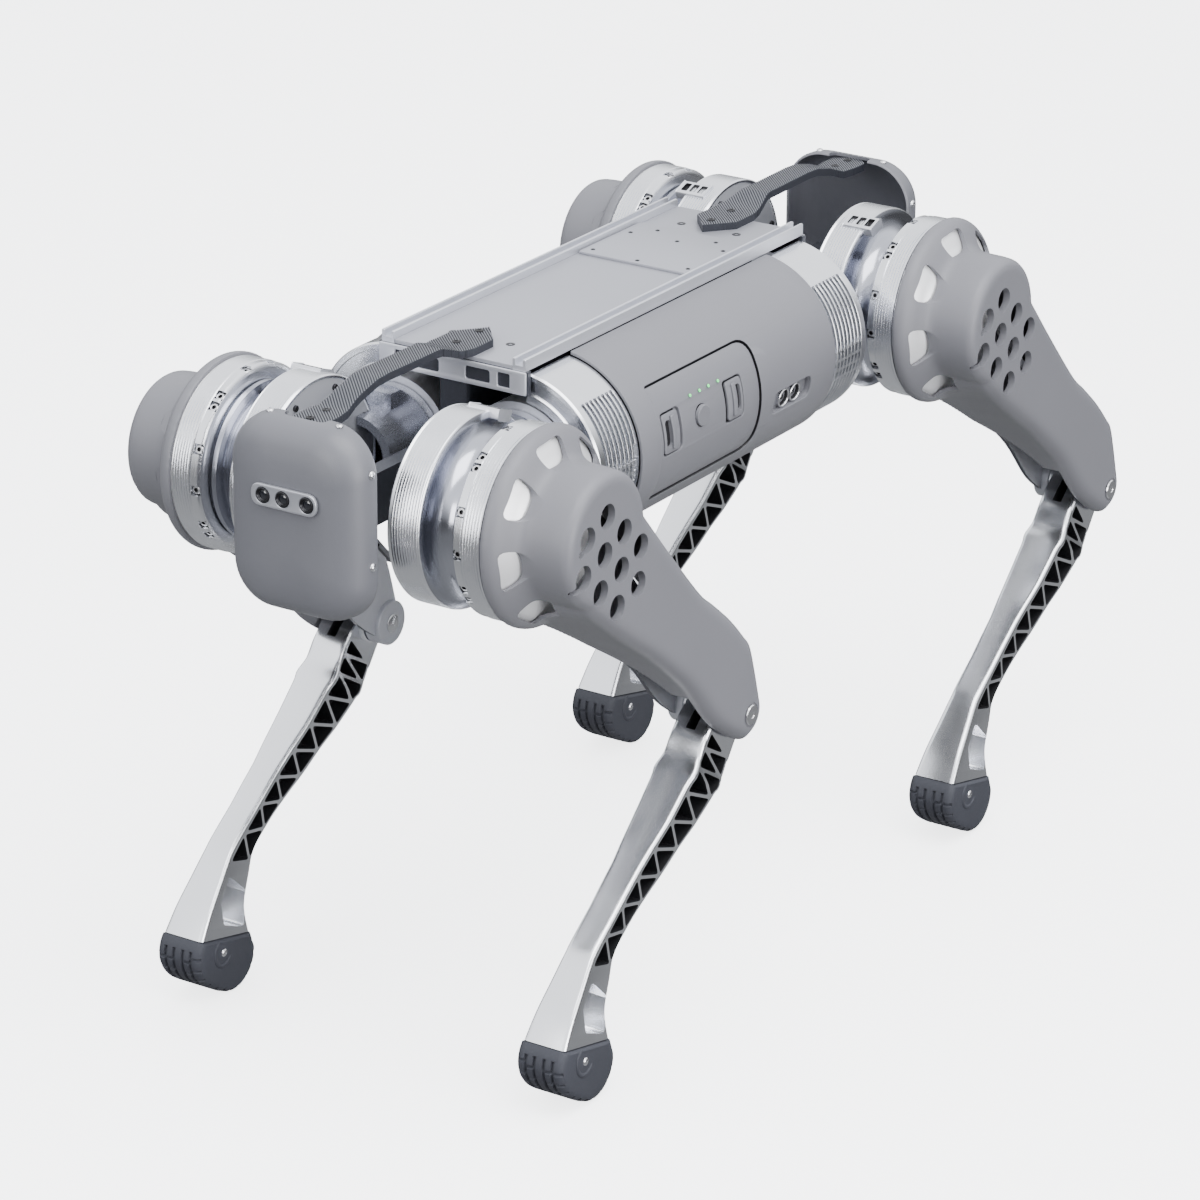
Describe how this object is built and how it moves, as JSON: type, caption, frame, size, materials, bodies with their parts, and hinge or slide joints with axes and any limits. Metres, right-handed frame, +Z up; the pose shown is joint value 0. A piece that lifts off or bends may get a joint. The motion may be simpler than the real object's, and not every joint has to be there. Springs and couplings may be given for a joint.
{
  "type": "quadruped robot dog",
  "caption": "Quadruped walking robot with barrel-sided trunk, hip, thigh and knee joints on each leg, slide-in battery, carrying handles and a camera bar",
  "frame": {"origin": "on the floor, under the middle of the bounding box", "axes": "+X forward, towards the cameras; +Y to the robot's left; +Z up"},
  "size_m": [1.1027, 0.474, 0.6438],
  "materials": {
    "cover_plastic": "fine matte moulded plastic",
    "latch_plastic": "fine matte moulded plastic",
    "head_plastic": "matte painted moulding",
    "deck_metal": "bead-blasted and anodised",
    "frame_metal": "bead-blasted",
    "handle_metal": "dark grey, finely ribbed",
    "motor_metal": "turned, bright",
    "shin_metal": "smooth, bright",
    "rubber": "matte slate rubber with tread",
    "lens_black": "glossy",
    "sensor_bar": "satin",
    "electronics": "matte black",
    "steel": "ground"
  },
  "bodies": {
    "trunk": {"chassis_frame": "frame_metal", "top_plate": "deck_metal", "rear_deck_panel": "deck_metal", "hip_motors": "motor_metal", "hip_motor_housings": "motor_metal", "accessory_rails": "deck_metal", "head_shell_front": "head_plastic", "head_shell_rear": "head_plastic", "handle_front": "handle_metal", "handle_rear": "handle_metal", "side_cover_left": "cover_plastic", "side_cover_right": "cover_plastic", "main_computer": "electronics", "port_connectors": "electronics", "camera_bar": "sensor_bar", "camera_lenses": "lens_black"},
    "battery": {"battery_pack": "cover_plastic"},
    "latch_front": {"battery_latch_front": "latch_plastic"},
    "latch_rear": {"battery_latch_rear": "latch_plastic"},
    "button": {"power_button": "latch_plastic"},
    "hip_front_left": {"hip_link_front_left": "motor_metal", "thigh_motor_front_left": "motor_metal"},
    "thigh_front_left": {"knee_motor_front_left": "motor_metal", "thigh_cover_front_left": "cover_plastic", "thigh_frame_front_left": "frame_metal", "knee_pin_front_left": "steel"},
    "crank_front_left": {"crank_front_left": "steel"},
    "rod_front_left": {"push_rod_front_left": "steel"},
    "shin_front_left": {"shin_front_left": "shin_metal", "foot_front_left": "rubber"},
    "hip_front_right": {"hip_link_front_right": "motor_metal", "thigh_motor_front_right": "motor_metal"},
    "thigh_front_right": {"knee_motor_front_right": "motor_metal", "thigh_cover_front_right": "cover_plastic", "thigh_frame_front_right": "frame_metal", "knee_pin_front_right": "steel"},
    "crank_front_right": {"crank_front_right": "steel"},
    "rod_front_right": {"push_rod_front_right": "steel"},
    "shin_front_right": {"shin_front_right": "shin_metal", "foot_front_right": "rubber"},
    "hip_rear_left": {"hip_link_rear_left": "motor_metal", "thigh_motor_rear_left": "motor_metal"},
    "thigh_rear_left": {"knee_motor_rear_left": "motor_metal", "thigh_cover_rear_left": "cover_plastic", "thigh_frame_rear_left": "frame_metal", "knee_pin_rear_left": "steel"},
    "crank_rear_left": {"crank_rear_left": "steel"},
    "rod_rear_left": {"push_rod_rear_left": "steel"},
    "shin_rear_left": {"shin_rear_left": "shin_metal", "foot_rear_left": "rubber"},
    "hip_rear_right": {"hip_link_rear_right": "motor_metal", "thigh_motor_rear_right": "motor_metal"},
    "thigh_rear_right": {"knee_motor_rear_right": "motor_metal", "thigh_cover_rear_right": "cover_plastic", "thigh_frame_rear_right": "frame_metal", "knee_pin_rear_right": "steel"},
    "crank_rear_right": {"crank_rear_right": "steel"},
    "rod_rear_right": {"push_rod_rear_right": "steel"},
    "shin_rear_right": {"shin_rear_right": "shin_metal", "foot_rear_right": "rubber"}
  },
  "joints": [
    {"name": "hip_swing_front_left", "type": "hinge", "parent": "trunk", "child": "hip_front_left", "pos_m": [0.4019, 0.066, 0.5343], "axis": [1, 0, 0], "range_deg": [-33, 40]},
    {"name": "thigh_swing_front_left", "type": "hinge", "parent": "hip_front_left", "child": "thigh_front_left", "pos_m": [0.4019, 0.13, 0.5343], "axis": [0, 1, 0], "range_deg": [-98, 155]},
    {"name": "knee_front_left", "type": "hinge", "parent": "thigh_front_left", "child": "shin_front_left", "pos_m": [0.16423, 0.198, 0.29117], "axis": [0, 1, 0], "range_deg": [-52, 51]},
    {"name": "crank_turn_front_left", "type": "hinge", "parent": "thigh_front_left", "child": "crank_front_left", "pos_m": [0.4019, 0.19, 0.5343], "axis": [0, 1, 0], "range_deg": [-52, 51]},
    {"name": "rod_pivot_front_left", "type": "hinge", "parent": "crank_front_left", "child": "rod_front_left", "pos_m": [0.39132, 0.198, 0.56237], "axis": [0, 1, 0], "range_deg": [-51, 52]},
    {"name": "hip_swing_front_right", "type": "hinge", "parent": "trunk", "child": "hip_front_right", "pos_m": [0.4019, -0.066, 0.5343], "axis": [1, 0, 0], "range_deg": [-40, 33]},
    {"name": "thigh_swing_front_right", "type": "hinge", "parent": "hip_front_right", "child": "thigh_front_right", "pos_m": [0.4019, -0.13, 0.5343], "axis": [0, 1, 0], "range_deg": [-98, 155]},
    {"name": "knee_front_right", "type": "hinge", "parent": "thigh_front_right", "child": "shin_front_right", "pos_m": [0.16423, -0.198, 0.29117], "axis": [0, 1, 0], "range_deg": [-52, 51]},
    {"name": "crank_turn_front_right", "type": "hinge", "parent": "thigh_front_right", "child": "crank_front_right", "pos_m": [0.4019, -0.19, 0.5343], "axis": [0, 1, 0], "range_deg": [-52, 51]},
    {"name": "rod_pivot_front_right", "type": "hinge", "parent": "crank_front_right", "child": "rod_front_right", "pos_m": [0.39132, -0.198, 0.56237], "axis": [0, 1, 0], "range_deg": [-51, 52]},
    {"name": "hip_swing_rear_left", "type": "hinge", "parent": "trunk", "child": "hip_rear_left", "pos_m": [-0.2891, 0.066, 0.5343], "axis": [1, 0, 0], "range_deg": [-33, 40]},
    {"name": "thigh_swing_rear_left", "type": "hinge", "parent": "hip_rear_left", "child": "thigh_rear_left", "pos_m": [-0.2891, 0.13, 0.5343], "axis": [0, 1, 0], "range_deg": [-45, 155]},
    {"name": "knee_rear_left", "type": "hinge", "parent": "thigh_rear_left", "child": "shin_rear_left", "pos_m": [-0.52677, 0.198, 0.29117], "axis": [0, 1, 0], "range_deg": [-52, 51]},
    {"name": "crank_turn_rear_left", "type": "hinge", "parent": "thigh_rear_left", "child": "crank_rear_left", "pos_m": [-0.2891, 0.19, 0.5343], "axis": [0, 1, 0], "range_deg": [-52, 51]},
    {"name": "rod_pivot_rear_left", "type": "hinge", "parent": "crank_rear_left", "child": "rod_rear_left", "pos_m": [-0.29968, 0.198, 0.56237], "axis": [0, 1, 0], "range_deg": [-51, 52]},
    {"name": "hip_swing_rear_right", "type": "hinge", "parent": "trunk", "child": "hip_rear_right", "pos_m": [-0.2891, -0.066, 0.5343], "axis": [1, 0, 0], "range_deg": [-40, 33]},
    {"name": "thigh_swing_rear_right", "type": "hinge", "parent": "hip_rear_right", "child": "thigh_rear_right", "pos_m": [-0.2891, -0.13, 0.5343], "axis": [0, 1, 0], "range_deg": [-45, 155]},
    {"name": "knee_rear_right", "type": "hinge", "parent": "thigh_rear_right", "child": "shin_rear_right", "pos_m": [-0.52677, -0.198, 0.29117], "axis": [0, 1, 0], "range_deg": [-52, 51]},
    {"name": "crank_turn_rear_right", "type": "hinge", "parent": "thigh_rear_right", "child": "crank_rear_right", "pos_m": [-0.2891, -0.19, 0.5343], "axis": [0, 1, 0], "range_deg": [-52, 51]},
    {"name": "rod_pivot_rear_right", "type": "hinge", "parent": "crank_rear_right", "child": "rod_rear_right", "pos_m": [-0.29968, -0.198, 0.56237], "axis": [0, 1, 0], "range_deg": [-51, 52]},
    {"name": "battery_slide", "type": "slide", "parent": "trunk", "child": "battery", "axis": [0, 1, 0], "range_m": [0, 0.15]},
    {"name": "latch_front_slide", "type": "slide", "parent": "battery", "child": "latch_front", "axis": [-1, 0, 0], "range_m": [0, 0.004], "stiffness_N_per_m": 300},
    {"name": "latch_rear_slide", "type": "slide", "parent": "battery", "child": "latch_rear", "axis": [1, 0, 0], "range_m": [0, 0.004], "stiffness_N_per_m": 300},
    {"name": "power_button_press", "type": "slide", "parent": "battery", "child": "button", "axis": [0, -1, 0], "range_m": [0, 0.0012], "stiffness_N_per_m": 500}
  ],
  "couplings": [
    {"joint": "crank_turn_front_left", "follows": "knee_front_left", "ratio": 1},
    {"joint": "rod_pivot_front_left", "follows": "knee_front_left", "ratio": -1},
    {"joint": "crank_turn_front_right", "follows": "knee_front_right", "ratio": 1},
    {"joint": "rod_pivot_front_right", "follows": "knee_front_right", "ratio": -1},
    {"joint": "crank_turn_rear_left", "follows": "knee_rear_left", "ratio": 1},
    {"joint": "rod_pivot_rear_left", "follows": "knee_rear_left", "ratio": -1},
    {"joint": "crank_turn_rear_right", "follows": "knee_rear_right", "ratio": 1},
    {"joint": "rod_pivot_rear_right", "follows": "knee_rear_right", "ratio": -1}
  ]
}
